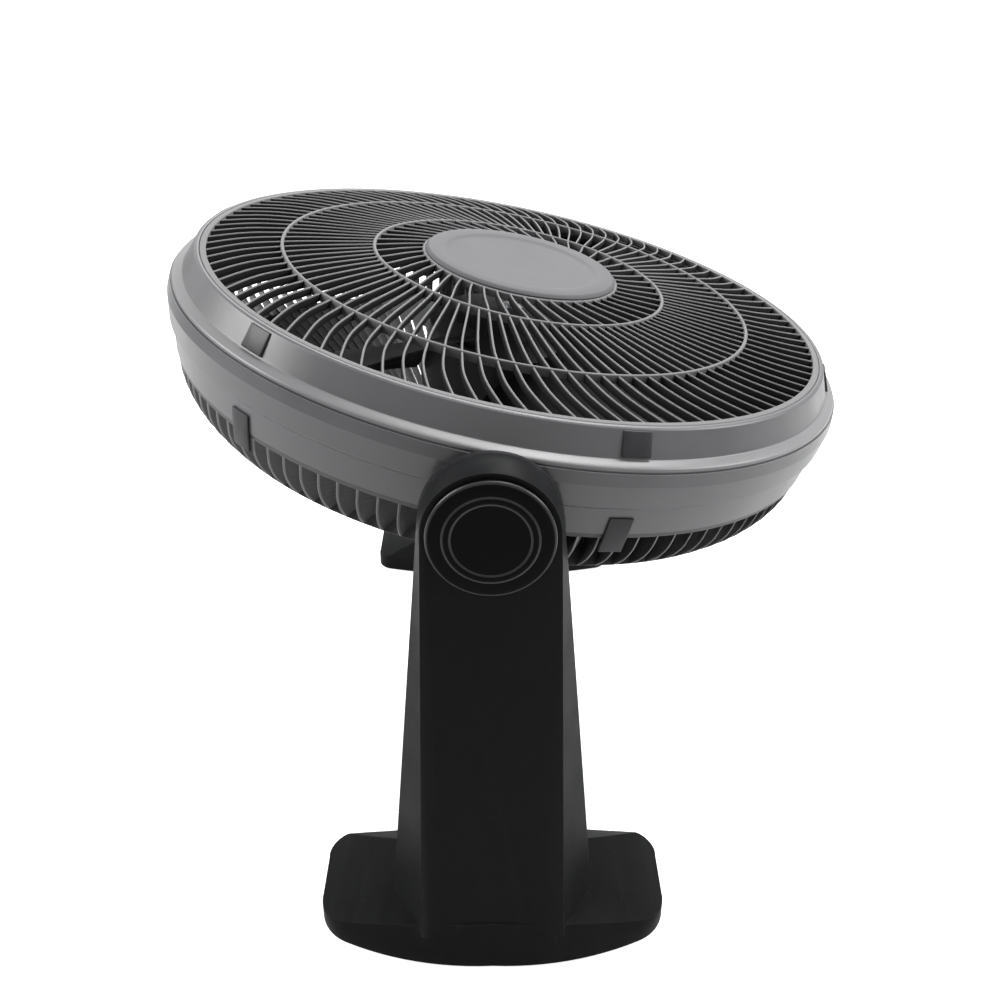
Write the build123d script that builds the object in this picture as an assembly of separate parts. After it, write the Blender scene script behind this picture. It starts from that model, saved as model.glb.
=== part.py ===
from build123d import *
import math
import os

# Tilting floor fan. Millimetres, +X is the way the upright head blows, +Y is the
# pivot axis, +Z is up, and the origin is on the floor below the middle of the whole
# fan at rest. The pieces are drawn with the pivot over x = 0 and moved at the end.

# Driving dimensions of the whole fan
PIVOT_X = -14.3
PIVOT_HEIGHT = 360.0
REST_TILT = 78.8
PIVOT_ABOVE_AXIS = 9.0
GAP = 0.3
PRESS = 0.03
RUNNING = 0.05

# Head, measured along its own axis from the plane of the pivots
GRILLE_R = 255.5
SHELL_R = 277.5
SHELL_FRONT = 38.0
SHELL_STEP = 9.0
SHELL_BACK = -12.0
WALL = 3.0
RIM_TOP = 63.5
CREASE_R = 267.0
CREASE_Z = 44.5

# Front guard
FRONT_RIBS = 98
FRONT_RIB_WIDTH = 2.2
OUTER_RING_R = 193.0
INNER_RING_R = 120.5
BADGE_R = 79.5
GUARD_DEPTH = 6.0
BADGE_TOP = 81.0

# Rear guard
REAR_RIBS = 110
REAR_RIB_WIDTH = 1.7
REAR_DEPTH = 18.0
REAR_LEAN = 2.4
KNUCKLE_R = 246.0
KNUCKLE_Z = -52.5
PLATE_R = 96.0
PLATE_TOP = -104.0
PLATE_THICK = 6.0

# Snap clips
CLIP_COUNT = 6
CLIP_FIRST = 227.0
FRONT_CLIP_SPAN = 4.6
REAR_CLIP_SPAN = 3.8

# Impeller and motor
BLADES = 5
BLADE_TIP_R = 242.0
BLADE_THICK = 3.0
HUB_R = 66.0
HUB_BACK = -26.0
HUB_FRONT = 38.0
SHAFT_R = 6.0
MOTOR_R = 62.0
MOTOR_FRONT = -36.0
MOTOR_WALL = 2.5
BEARING_R = 14.0
BEARING_THICK = 10.0
AIR_GAP = 0.6

# Rear cover, switch and knob
COVER_R = 92.0
COVER_DEPTH = 34.0
KNOB_R = 20.0
KNOB_HEIGHT = 15.0

# Stand
FOOT_HALF_X = 133.5
FOOT_IN = 204.0
FOOT_OUT = 336.0
FOOT_TOP = 42.0
LIP = 15.0
FOOT_LIFT = 1.5
DOME_R = 341.0
FOOT_WALL = 6.0
ARM_WALL = 3.5
ARM_IN = 285.0
ARM_OUT_TOP = 308.0
ARM_OUT_LOW = 331.0
ARM_HALF_TOP = 47.0
ARM_HALF_LOW = 75.5
FACE_HALF_TOP = 44.5
FACE_HALF_LOW = 52.5
COVER_THICK = 3.0
PLATE_Z = 3.0
FOOT_PLATE_THICK = 2.5
BRIDGE_HALF_X = 55.0
BRIDGE_HEIGHT = 26.0
BRIDGE_WALL = 2.5
BRIDGE_END = 262.0

# Tilt joint
CAP_R = 41.3
CAP_THICK = 5.0
CUP_R = 36.5
CUP_DEPTH = 11.0
WEB_THICK = 6.0
BOLT_R = 6.0
BUSHING_R = 10.0
BOSS_R = 30.0
BOSS_FACE = 278.5
BUSHING_FLANGE = 1.5
DUCT_FACE = 262.0


def head_place():
    """Location that carries a solid drawn round the head's own axis to the rest pose."""
    return (
        Pos(0, 0, PIVOT_HEIGHT)
        * Rot(0, 90 - REST_TILT, 0)
        * Pos(PIVOT_ABOVE_AXIS, 0, 0)
    )


def polar(radius, degrees, z=0.0):
    """Point at a radius and angle round the Z axis."""
    turn = math.radians(degrees)
    return Vector(radius * math.cos(turn), radius * math.sin(turn), z)


def spin(points, degrees=360.0):
    """Revolve a closed (radius, z) outline round the Z axis."""
    outline = Plane.XZ * make_face(Polyline(*points, close=True))
    return revolve(outline, axis=Axis.Z, revolution_arc=degrees)


def tube(outer, inner, bottom, top):
    """Ring with square edges."""
    height = top - bottom
    ring = Cylinder(outer, height) - Cylinder(inner, height + 2)
    return Pos(0, 0, (bottom + top) / 2) * ring


def rod(radius, bottom, top):
    """Upright round bar between two heights."""
    return Pos(0, 0, (bottom + top) / 2) * Cylinder(radius, top - bottom)


def cross_rod(radius, start, end):
    """Round bar along Y between two values of y."""
    return Pos(0, (start + end) / 2, 0) * Rot(90, 0, 0) * Cylinder(radius, end - start)


def stud(radius, bottom, top):
    """Upright eight-sided bar for screws, their holes and their bosses."""
    return Pos(0, 0, bottom) * extrude(RegularPolygon(radius, 8), top - bottom)


def cross_stud(radius, start, end):
    """Eight-sided bar along Y between two values of y."""
    return Pos(0, start, 0) * Rot(-90, 0, 0) * stud(radius, 0, end - start)


def both_sides(solid):
    """The solid and its mirror image across the XZ plane, kept as two solids."""
    return [solid, mirror(solid, about=Plane.XZ)]


def as_group(solids):
    """Separate solids that share one node."""
    parts = []
    for item in solids:
        parts.extend(item.solids())
    return Compound(children=parts)


def placed(place, part):
    """The part at its place, moved solid by solid so that a group keeps none of its own."""
    solids = [place * item for item in part.solids()]
    return solids[0] if len(solids) == 1 else Compound(children=solids)


# Guards made of flat-sided ribs between rings

def rib_loop(radius, z, count, start, width):
    """Two corners for each rib, in order round a circle."""
    half = math.degrees(math.asin(width / 2 / radius))
    corners = []
    for k in range(count):
        centre = start + k * 360 / count
        corners.append(polar(radius, centre - half, z))
        corners.append(polar(radius, centre + half, z))
    return corners


def flat(*corners):
    """Flat face through corners in order."""
    return Face(Wire.make_polygon(corners, close=True))


def annulus(outer, inner):
    """Flat ring face between two loops at one height."""
    holes = [Wire.make_polygon(inner, close=True)] if inner else []
    return Face(Wire.make_polygon(outer, close=True), holes)


def quad(a, b, c, d):
    """Two flat faces over four corners that need not lie in one plane."""
    return [flat(a, b, c), flat(a, c, d)]


def band(lower, upper, step=1):
    """Strips joining two loops, over every side or only the gaps between ribs."""
    count = len(lower)
    faces = []
    for k in range(step - 1, count, step):
        after = (k + 1) % count
        faces += quad(lower[k], lower[after], upper[after], upper[k])
    return faces


def rib_faces(stations):
    """Skin of every rib through its stations, each an inner and an outer loop."""
    faces = []
    for (in_a, out_a), (in_b, out_b) in zip(stations, stations[1:]):
        for k in range(0, len(in_a), 2):
            m = k + 1
            faces += quad(in_a[k], in_a[m], in_b[m], in_b[k])
            faces += quad(out_a[k], out_a[m], out_b[m], out_b[k])
            faces += quad(in_a[k], in_b[k], out_b[k], out_a[k])
            faces += quad(in_a[m], in_b[m], out_b[m], out_a[m])
    return faces


def guard_station(radius, top, sweep, count):
    """Upper and lower corner loops of the front guard at one radius."""
    upper = rib_loop(radius, top, count, sweep, FRONT_RIB_WIDTH)
    lower = rib_loop(radius, top - GUARD_DEPTH, count, sweep, FRONT_RIB_WIDTH)
    return upper, lower


def front_guard():
    """Swept-rib guard: badge plate, two rings and rim, with half the ribs at the middle."""
    ring = 2.6
    rim_in = GRILLE_R - 5.0
    bend = (OUTER_RING_R + rim_in) / 2
    ring_1 = BADGE_TOP - 10.5
    ring_2 = BADGE_TOP - 3.5
    bend_top = (ring_1 + RIM_TOP) / 2 + 0.4
    few = FRONT_RIBS // 2

    inner = [
        guard_station(BADGE_R + 2.0, BADGE_TOP, -16.0, few),
        guard_station(INNER_RING_R - ring / 2, ring_2, -6.9, few),
    ]
    middle = [
        guard_station(INNER_RING_R + ring / 2, ring_2, -6.5, FRONT_RIBS),
        guard_station(OUTER_RING_R - ring / 2, ring_1, 0.0, FRONT_RIBS),
    ]
    outer = [
        guard_station(OUTER_RING_R + ring / 2, ring_1, 0.2, FRONT_RIBS),
        guard_station(bend, bend_top, 2.5, FRONT_RIBS),
        guard_station(rim_in, RIM_TOP, 6.0, FRONT_RIBS),
    ]
    faces = []
    for zone in (inner, middle, outer):
        faces += rib_faces(zone)
        for end in (zone[0], zone[-1]):
            faces += band(end[1], end[0], 2)
    for level in (0, 1):
        faces.append(annulus(inner[0][level], None))
        faces.append(annulus(middle[0][level], inner[-1][level]))
        faces.append(annulus(outer[0][level], middle[-1][level]))
    rim = [
        [polar(GRILLE_R, k * 360 / FRONT_RIBS, z) for k in range(FRONT_RIBS)]
        for z in (RIM_TOP, RIM_TOP - GUARD_DEPTH)
    ]
    for level in (0, 1):
        faces.append(annulus(rim[level], outer[-1][level]))
    faces += band(rim[1], rim[0])
    return Solid(Shell(faces))


def rear_station(inner, outer, count):
    """Corner loops of the rear guard, the inner one turned on so that the ribs lean."""
    return (
        rib_loop(*inner, count, REAR_LEAN, REAR_RIB_WIDTH),
        rib_loop(*outer, count, 0.0, REAR_RIB_WIDTH),
    )


def rear_guard():
    """Bowl of deep leaning fins with a rim, a knuckle ring and a plate for the motor."""
    rim_out = SHELL_R - 10.3
    rim_in = rim_out - 12.0
    rim_low = SHELL_BACK - 4.0
    mid_r = (KNUCKLE_R + rim_out) / 2 + 5.5
    mid_z = (KNUCKLE_Z + rim_low) / 2
    plate_low = PLATE_TOP - PLATE_THICK
    knuckle_top = KNUCKLE_Z + REAR_DEPTH - 5.0
    cone_end = KNUCKLE_R - REAR_DEPTH

    cone = [
        rear_station((PLATE_R, PLATE_TOP), (PLATE_R, plate_low), REAR_RIBS),
        rear_station((cone_end - 4, knuckle_top), (KNUCKLE_R - 5, KNUCKLE_Z), REAR_RIBS),
    ]
    wall = [
        rear_station((cone_end, knuckle_top), (KNUCKLE_R, KNUCKLE_Z), REAR_RIBS),
        rear_station((mid_r - REAR_DEPTH, mid_z + 5), (mid_r, mid_z), REAR_RIBS),
        rear_station((rim_in, rim_low), (rim_out, rim_low), REAR_RIBS),
    ]
    faces = rib_faces(cone) + rib_faces(wall)
    for end in (cone[0], cone[-1], wall[0], wall[-1]):
        faces += band(end[1], end[0], 2)
    for level in (0, 1):
        faces.append(annulus(cone[0][level], None))
        faces.append(annulus(wall[0][level], cone[-1][level]))
    top_in, top_out = rear_station((rim_in, SHELL_BACK), (rim_out, SHELL_BACK), REAR_RIBS)
    faces += band(wall[-1][0], top_in)
    faces += band(wall[-1][1], top_out)
    faces.append(annulus(top_out, top_in))
    guard = Solid(Shell(faces))
    for place in motor_bolt_places():
        guard -= place * stud(2.6, plate_low - 1, PLATE_TOP + 1)
    for place in cover_screw_places():
        guard -= place * stud(1.7 + RUNNING, plate_low - 1, plate_low + 3.5)
    guard -= Pos(30, 0, 0) * stud(5.0, plate_low - 1, PLATE_TOP + 1)
    return guard


# Head: badge, bezel, shell and clips

def badge():
    """Plain dished disc on the middle of the front guard."""
    top = BADGE_TOP
    return spin([
        (0, top), (BADGE_R, top), (BADGE_R, top + 1.2), (BADGE_R - 2.5, top + 3.6),
        (BADGE_R - 16, top + 3.6), (BADGE_R - 18, top + 2.6), (0, top + 2.0),
    ])


def bezel():
    """Front band that carries the guard on an inner ledge."""
    seat = GRILLE_R + GAP
    ledge = RIM_TOP - GUARD_DEPTH
    return spin([
        (seat, ledge), (seat, RIM_TOP), (seat + 2.2, RIM_TOP), (CREASE_R, CREASE_Z),
        (SHELL_R - 4, CREASE_Z - 3.7), (SHELL_R - 2.5, SHELL_FRONT),
        (SHELL_R - 9, SHELL_FRONT), (CREASE_R - 3.5, CREASE_Z - 1),
        (seat + 2.4, ledge - 2.5), (seat - 6.8, ledge - 2.5), (seat - 6.8, ledge),
    ])


def shell_boss():
    """Pivot boss on one side of the shell, flat where the rear guard starts, and its bore."""
    boss = cross_rod(BOSS_R, DUCT_FACE, BOSS_FACE)
    boss -= Pos(0, DUCT_FACE, SHELL_BACK - BOSS_R) * Box(3 * BOSS_R, 60, 2 * BOSS_R)
    bore = cross_rod(BUSHING_R, DUCT_FACE - 10, BOSS_FACE + 1)
    return Pos(-PIVOT_ABOVE_AXIS, 0, 0) * boss, Pos(-PIVOT_ABOVE_AXIS, 0, 0) * bore


def head_shell():
    """Round duct with a front flange, a step, and the two pivot bosses."""
    skin = spin([
        (SHELL_R - 13.5, SHELL_FRONT), (SHELL_R - 1.2, SHELL_FRONT), (SHELL_R, 29),
        (SHELL_R - 2.5, SHELL_STEP + 3), (SHELL_R - 5.7, SHELL_STEP),
        (SHELL_R - 9.1, SHELL_BACK), (SHELL_R - 15, SHELL_BACK),
        (SHELL_R - 15, SHELL_BACK + WALL), (SHELL_R - 12, SHELL_BACK + WALL),
        (SHELL_R - 5.5, SHELL_STEP + 5), (SHELL_R - 3.4, 29),
        (SHELL_R - 3.8, SHELL_FRONT - WALL), (SHELL_R - 13.5, SHELL_FRONT - WALL),
    ])
    boss, bore = shell_boss()
    for solid in both_sides(boss):
        skin += solid
    for solid in both_sides(bore):
        skin -= solid
    return skin


def pivot_bushings():
    """Flanged sleeves pressed into the two bosses."""
    sleeve = cross_rod(BUSHING_R, DUCT_FACE, BOSS_FACE)
    flange = cross_rod(BUSHING_R + 5, BOSS_FACE, BOSS_FACE + BUSHING_FLANGE)
    bore = cross_rod(BOLT_R + RUNNING, DUCT_FACE - 1, BOSS_FACE + BUSHING_FLANGE + 1)
    return as_group(both_sides(Pos(-PIVOT_ABOVE_AXIS, 0, 0) * (sleeve + flange - bore)))


def round_clips(points, span):
    """Six snap clips cut from one revolved strip."""
    clip = spin(points, span)
    first = CLIP_FIRST - span / 2
    clips = [
        Rot(0, 0, first + k * 360 / CLIP_COUNT) * clip for k in range(CLIP_COUNT)
    ]
    return as_group(clips)


def front_clips():
    """Clips that lie on the sloping face of the bezel."""
    seat = GRILLE_R + GAP + 2.2
    drop = RIM_TOP - CREASE_Z
    run = CREASE_R - seat
    high = (seat + 0.12 * run, RIM_TOP - 0.12 * drop)
    low = (CREASE_R - 0.04 * run, CREASE_Z + 0.04 * drop)
    outer = [(low[0] + 1.8, low[1] + 1), (high[0] + 1.8, high[1] + 1)]
    return round_clips([high, low, *outer], FRONT_CLIP_SPAN)


def rear_clips():
    """Clips that tie the rear guard to the back edge of the shell."""
    def skirt(z):
        return SHELL_R - 9.1 + 3.4 * (z - SHELL_BACK) / (SHELL_STEP - SHELL_BACK)
    return round_clips([
        (skirt(2), 2), (skirt(SHELL_BACK), SHELL_BACK), (skirt(SHELL_BACK) - 1.2, -16),
        (skirt(SHELL_BACK) - 3.2, -27), (skirt(SHELL_BACK) - 1.2, -27.5),
        (skirt(SHELL_BACK) + 1.9, SHELL_BACK), (skirt(2) + 1.6, 2),
    ], REAR_CLIP_SPAN)


# Motor and impeller

def motor_bolt_places():
    """Four places on the bolt circle of the motor."""
    return [Rot(0, 0, 45 + 90 * k) * Pos(44, 0, 0) for k in range(4)]


def motor_can():
    """Drawn steel cup that holds the stator and the rear bearing."""
    base = PLATE_TOP + MOTOR_WALL
    rim = MOTOR_FRONT - 4
    can = spin([
        (0, PLATE_TOP), (MOTOR_R, PLATE_TOP), (MOTOR_R, rim),
        (MOTOR_R - MOTOR_WALL, rim), (MOTOR_R - MOTOR_WALL, base),
        (BEARING_R + 3, base), (BEARING_R + 3, base + BEARING_THICK),
        (BEARING_R, base + BEARING_THICK), (BEARING_R, base), (0, base),
    ])
    for place in motor_bolt_places():
        can -= place * stud(2.5 - PRESS, PLATE_TOP - 1, base + 1)
    return can


def motor_endbell():
    """Front lid of the motor with the bearing housing and cooling slots."""
    rim = MOTOR_FRONT - 4
    low = rim - BEARING_THICK
    lid = spin([
        (SHAFT_R + 2, MOTOR_FRONT), (MOTOR_R, MOTOR_FRONT), (MOTOR_R, rim),
        (BEARING_R + 3, rim), (BEARING_R + 3, low), (BEARING_R, low),
        (BEARING_R, rim), (SHAFT_R + 2, rim),
    ])
    slot = Pos(40, 0, MOTOR_FRONT) * Box(24, 7, 20)
    for k in range(8):
        lid -= Rot(0, 0, 22.5 + 45 * k) * slot
    return lid


def motor_bearings():
    """Two plain ball-bearing rings round the shaft."""
    back = PLATE_TOP + MOTOR_WALL
    front = MOTOR_FRONT - 4
    return as_group([
        tube(BEARING_R, SHAFT_R + RUNNING, back, back + BEARING_THICK),
        tube(BEARING_R, SHAFT_R + RUNNING, front - BEARING_THICK, front),
    ])


def stator_core():
    """Lamination stack pressed into the can."""
    return tube(MOTOR_R - MOTOR_WALL + PRESS, 34 + AIR_GAP, -88, -58)


def stator_windings():
    """End turns on both faces of the stack."""
    profile = [(37, 0), (39, 7), (52, 7), (54, 0)]
    front = spin([(r, -58 + z) for r, z in profile])
    back = spin([(r, -88 - z) for r, z in profile])
    return as_group([front, back])


def rotor_core():
    """Squirrel-cage rotor on the shaft."""
    return tube(34, SHAFT_R - PRESS, -89, -57)


def motor_shaft():
    """Shaft from the rear bearing to the impeller nut."""
    return rod(SHAFT_R, PLATE_TOP + MOTOR_WALL + 0.5, HUB_FRONT + 9)


def motor_bolts():
    """Four screws that hold the motor to the plate of the rear guard."""
    low = PLATE_TOP - PLATE_THICK
    bolt = stud(4.5, low - 3, low) + stud(2.5, low, PLATE_TOP + MOTOR_WALL)
    return as_group([place * bolt for place in motor_bolt_places()])


def blade_section(radius, chord, pitch, camber, lean):
    """Curved blade section in the plane square to the blade's own radius."""
    half = chord / 2
    thick = BLADE_THICK / 2
    top = ThreePointArc((-half, 0.4), (0, camber + thick), (half, 0.4))
    low = ThreePointArc((half, -0.4), (0, camber - thick), (-half, -0.4))
    ends = [Line((half, 0.4), (half, -0.4)), Line((-half, -0.4), (-half, 0.4))]
    face = make_face([top, ends[0], low, ends[1]])
    plane = Plane(origin=(radius, lean, 6), x_dir=(0, 1, 0), z_dir=(1, 0, 0))
    return plane * Rot(0, 0, pitch) * face


def blade():
    """One wide blade lofted from the hub to the tip."""
    sections = [
        blade_section(HUB_R - 6, 92, 38, 9, 0),
        blade_section(155, 140, 30, 11, 8),
        blade_section(BLADE_TIP_R + 8, 165, 22, 10, 22),
    ]
    return loft(sections) & rod(BLADE_TIP_R, -80, 80)


def impeller():
    """Hub cup with its blades and the boss on the shaft."""
    hub = spin([
        (SHAFT_R - PRESS, 8), (15, 8), (15, HUB_FRONT - 4), (50, HUB_FRONT - 7),
        (HUB_R - WALL, 20), (HUB_R - WALL, HUB_BACK), (HUB_R, HUB_BACK), (HUB_R, 22),
        (54, HUB_FRONT - 4), (14, HUB_FRONT), (SHAFT_R - PRESS, HUB_FRONT),
    ])
    one = blade() - rod(HUB_R - 1.5, -80, 80)
    wheel = hub
    for k in range(BLADES):
        wheel += Rot(0, 0, 360 * k / BLADES) * one
    return wheel


def impeller_nut():
    """Nut that holds the impeller on the shaft."""
    hexagon = extrude(RegularPolygon(9.5, 6), 7)
    return Pos(0, 0, HUB_FRONT) * (hexagon - rod(SHAFT_R - PRESS, -1, 8))


# Rear cover with the speed control

def rear_cover():
    """Domed cover behind the motor plate."""
    top = PLATE_TOP - PLATE_THICK
    low = top - COVER_DEPTH
    cover = spin([
        (4, low), (COVER_R - 24, low), (COVER_R - 11, low + 12), (COVER_R - 7, top - 3),
        (COVER_R, top - 3), (COVER_R, top), (COVER_R - 10, top),
        (COVER_R - 13.8, low + 13), (COVER_R - 25, low + WALL), (4, low + WALL),
    ])
    for place in cover_screw_places():
        cover -= place * stud(1.9, top - 4, top + 1)
    cover -= gland_place() * rod(8, -12, 12)
    return cover


def cover_screw_places():
    """Four places on the flange of the rear cover."""
    return [Rot(0, 0, 45 + 90 * k) * Pos(COVER_R - 3.3, 0, 0) for k in range(4)]


def cover_screws():
    """Short screws through the cover flange into the motor plate."""
    top = PLATE_TOP - PLATE_THICK
    screw = stud(2.8, top - 5, top - 3) + stud(1.7, top - 3, top + 3)
    return as_group([place * screw for place in cover_screw_places()])


def gland_place():
    """Where the cord hole sits in the cover's wall, lowest when the head is upright."""
    middle = PLATE_TOP - PLATE_THICK - COVER_DEPTH / 2
    return Pos(COVER_R - 11, 0, middle) * Rot(0, 90, 0)


def cord_gland():
    """Bush round the cord hole, left open because no cord is shown."""
    body = rod(8, -5.5, 6) + rod(10.5, 3.2, 6)
    return gland_place() * (body - rod(4.2, -12, 12))


def speed_switch():
    """Rotary switch behind the cover."""
    floor = PLATE_TOP - PLATE_THICK - COVER_DEPTH + WALL
    body = Pos(0, 0, floor + 8) * Box(34, 30, 16)
    return body - rod(3 + RUNNING, floor - 1, floor + 12)


def run_capacitor():
    """Capacitor fixed to the back of the motor plate."""
    top = PLATE_TOP - PLATE_THICK
    return Pos(-48, 0, top - 9) * Box(20, 40, 18)


def speed_knob():
    """Round knob with a grip bar on a spindle that enters the switch."""
    back = PLATE_TOP - PLATE_THICK - COVER_DEPTH
    top = back - 1
    low = top - KNOB_HEIGHT
    knob = spin([
        (0, top), (KNOB_R, top), (KNOB_R, top - 3), (KNOB_R - 2, top - 6),
        (KNOB_R - 4, top - 7), (0, top - 7),
    ])
    grip = Pos(0, 0, (top + low) / 2 - 3) * Box(2 * KNOB_R - 8, 8, KNOB_HEIGHT - 6)
    return knob + grip + rod(3, top - 2, back + WALL + 8)


# Stand: domed feet with arms, covers, plates and the bridge between them

def foot_outline(inset):
    """Bowed plan of one foot, on the +Y side, drawn in by the inset."""
    half = FOOT_HALF_X - inset
    out = FOOT_OUT - inset
    inner = FOOT_IN + inset
    right = [
        ThreePointArc((0, inner), (half * 0.46, inner + 4), (half * 0.92, inner + 16)),
        ThreePointArc((half * 0.92, inner + 16), (half * 0.985, inner + 24), (half, inner + 36)),
        Line((half, inner + 36), (half, out - 58)),
        ThreePointArc((half, out - 58), (half * 0.965, out - 37), (half * 0.84, out - 22)),
        ThreePointArc((half * 0.84, out - 22), (half * 0.47, out - 5.3), (0, out)),
    ]
    side = make_face([*right, Line((0, out), (0, inner))])
    return side + mirror(side, about=Plane.YZ)


def foot_block(inset, bottom, drop):
    """Foot under its dome, with the inner side sloping down to the lip."""
    up = (0, 0, 1)
    taper = 9 if inset == 0 else 0
    lip = Pos(0, 0, bottom) * extrude(foot_outline(inset), LIP - bottom, dir=up)
    upper = Pos(0, 0, LIP) * extrude(foot_outline(inset), FOOT_TOP, dir=up, taper=taper)
    dome_axis = FOOT_TOP - drop - DOME_R
    dome = Pos(0, 0, dome_axis) * cross_rod(DOME_R, FOOT_IN - 50, FOOT_OUT + 50)
    block = (lip + upper) & dome
    slope = Plane.YZ * make_face(Polyline(
        (FOOT_IN - 20, LIP - 13 - drop), (FOOT_IN + 8, LIP - drop),
        (FOOT_IN + 48, LIP + 27 - drop), (FOOT_IN + 48, 90), (FOOT_IN - 20, 90),
        close=True,
    ))
    return block - extrude(slope, 2 * FOOT_HALF_X, both=True)


def arm_value(z, low, top):
    """Arm size at a height, running straight from the foot's top to the pivot."""
    share = (z - FOOT_TOP) / (PIVOT_HEIGHT - FOOT_TOP)
    return low + share * (top - low)


def arm_section(z, inset):
    """Half-hexagon section of the arm at one height."""
    half = arm_value(z, ARM_HALF_LOW, ARM_HALF_TOP) - inset
    face = arm_value(z, FACE_HALF_LOW, FACE_HALF_TOP) - inset * 0.8
    out = arm_value(z, ARM_OUT_LOW, ARM_OUT_TOP) - inset
    knee = arm_value(z, ARM_IN + 5, ARM_OUT_TOP - 11) - inset * 0.3
    return Pos(0, 0, z) * make_face(Polyline(
        (-half, ARM_IN), (-half, knee), (-face, out), (face, out), (half, knee),
        (half, ARM_IN), close=True,
    ))


def arm_body(inset, bottom):
    """Tapering arm with its round top."""
    shaft = loft([arm_section(bottom, inset), arm_section(PIVOT_HEIGHT, inset)], ruled=True)
    knee = ARM_OUT_TOP - 11 - inset * 0.3
    out = ARM_OUT_TOP - inset
    profile = [
        (0, ARM_IN), (ARM_HALF_TOP - inset, ARM_IN), (ARM_HALF_TOP - inset, knee),
        (FACE_HALF_TOP - inset * 0.8, out), (0, out),
    ]
    cap = Pos(0, 0, PIVOT_HEIGHT) * Rot(-90, 0, 0) * spin(profile)
    return shaft + cap


def at_pivot(solid):
    """Move a solid drawn round the Y axis up to the pivot."""
    return Pos(0, 0, PIVOT_HEIGHT) * solid


def arm_screw_places():
    """Four places of the arm cover's screws, as x and z."""
    low = FOOT_TOP + 50
    high = PIVOT_HEIGHT - 75
    return [(-46, low), (46, low), (-34, high), (34, high)]


def foot_screw_places():
    """Four places of the foot plate's screws, as x and y."""
    return [(x, y) for x in (-94, 94) for y in (FOOT_IN + 44, FOOT_OUT - 40)]


def side_frame():
    """Foot and arm as one hollow moulding, open below and on the arm's inner side."""
    frame = foot_block(0, FOOT_LIFT, 0) + arm_body(0, FOOT_TOP - 14)
    frame -= foot_block(FOOT_WALL, FOOT_LIFT - 5, ARM_WALL)
    frame -= arm_body(ARM_WALL, 12)

    cup = cross_rod(CUP_R + 3.5, ARM_OUT_TOP - CUP_DEPTH - WEB_THICK, ARM_OUT_TOP - 1)
    frame += at_pivot(cup)
    frame -= at_pivot(cross_rod(CUP_R, ARM_OUT_TOP - CUP_DEPTH, ARM_OUT_TOP + 2))
    frame -= at_pivot(cross_rod(CAP_R + GAP, ARM_OUT_TOP, ARM_OUT_TOP + 2 * CAP_THICK))
    frame -= at_pivot(cross_rod(BOLT_R + RUNNING, ARM_IN - 1, ARM_OUT_TOP))

    for x, z in arm_screw_places():
        wall = arm_value(z, ARM_OUT_LOW, ARM_OUT_TOP) - 2
        frame += Pos(x, 0, z) * cross_stud(5, ARM_IN, wall)
        frame -= Pos(x, 0, z) * cross_stud(1.7 - PRESS, ARM_IN - 1, ARM_IN + 10)
    seat = PLATE_Z + FOOT_PLATE_THICK
    for x, y in foot_screw_places():
        roof = FOOT_TOP - ARM_WALL / 2 - x * x / (2 * DOME_R)
        frame += Pos(x, y, 0) * stud(6, seat, roof)
        frame -= Pos(x, y, 0) * stud(1.9 - PRESS, seat - 1, seat + 10)

    frame -= Pos(0, (FOOT_IN + BRIDGE_END) / 2, bridge_top() / 2) * Box(
        2 * (BRIDGE_HALF_X + GAP), BRIDGE_END - FOOT_IN + 2 * GAP, bridge_top() + 2 * GAP
    )
    for x in (-38, 38):
        at_bolt = Pos(x, BRIDGE_END - 10, 0)
        frame += at_bolt * stud(6, bridge_top(), FOOT_TOP - ARM_WALL / 2 - 2)
        frame -= at_bolt * stud(2.5 - PRESS, bridge_top() - 1, bridge_top() + 4)
    return frame


def bridge_top():
    """Height of the bridge's flat top."""
    return PLATE_Z + FOOT_PLATE_THICK + BRIDGE_HEIGHT


def arm_cover():
    """Flat lid over the arm's open inner side."""
    wide = arm_value(FOOT_TOP - 20, ARM_HALF_LOW, ARM_HALF_TOP)
    outline = make_face(Polyline(
        (-wide, FOOT_TOP - 20), (-ARM_HALF_TOP, PIVOT_HEIGHT),
        (ARM_HALF_TOP, PIVOT_HEIGHT), (wide, FOOT_TOP - 20), close=True,
    ))
    outline += Pos(0, PIVOT_HEIGHT) * Circle(ARM_HALF_TOP)
    outline -= Pos(0, PIVOT_HEIGHT) * Circle(BOLT_R + 0.5)
    for x, z in arm_screw_places():
        outline -= Pos(x, z) * RegularPolygon(1.9, 8)
    lid = Pos(0, ARM_IN, 0) * Rot(90, 0, 0) * extrude(outline, COVER_THICK)
    return lid - foot_block(0, FOOT_LIFT, 0)


def arm_cover_screws():
    """Pan-head screws through the arm covers."""
    face = ARM_IN - COVER_THICK
    screw = cross_stud(3.2, face - 2, face) + cross_stud(1.7, face, ARM_IN + 9)
    screws = []
    for x, z in arm_screw_places():
        screws += both_sides(Pos(x, 0, z) * screw)
    return as_group(screws)


def foot_plate():
    """Flat lid under one foot."""
    outline = foot_outline(FOOT_WALL + GAP)
    plate = Pos(0, 0, PLATE_Z) * extrude(outline, FOOT_PLATE_THICK, dir=(0, 0, 1))
    for x, y in foot_screw_places():
        plate -= Pos(x, y, 0) * stud(2.1, PLATE_Z - 1, PLATE_Z + 5)
    return plate


def foot_screws():
    """Screws up through the foot plates."""
    seat = PLATE_Z + FOOT_PLATE_THICK
    screw = stud(3.4, PLATE_Z - 1.2, PLATE_Z) + stud(1.9, PLATE_Z, seat + 9)
    screws = []
    for x, y in foot_screw_places():
        screws += both_sides(Pos(x, y, 0) * screw)
    return as_group(screws)


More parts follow.
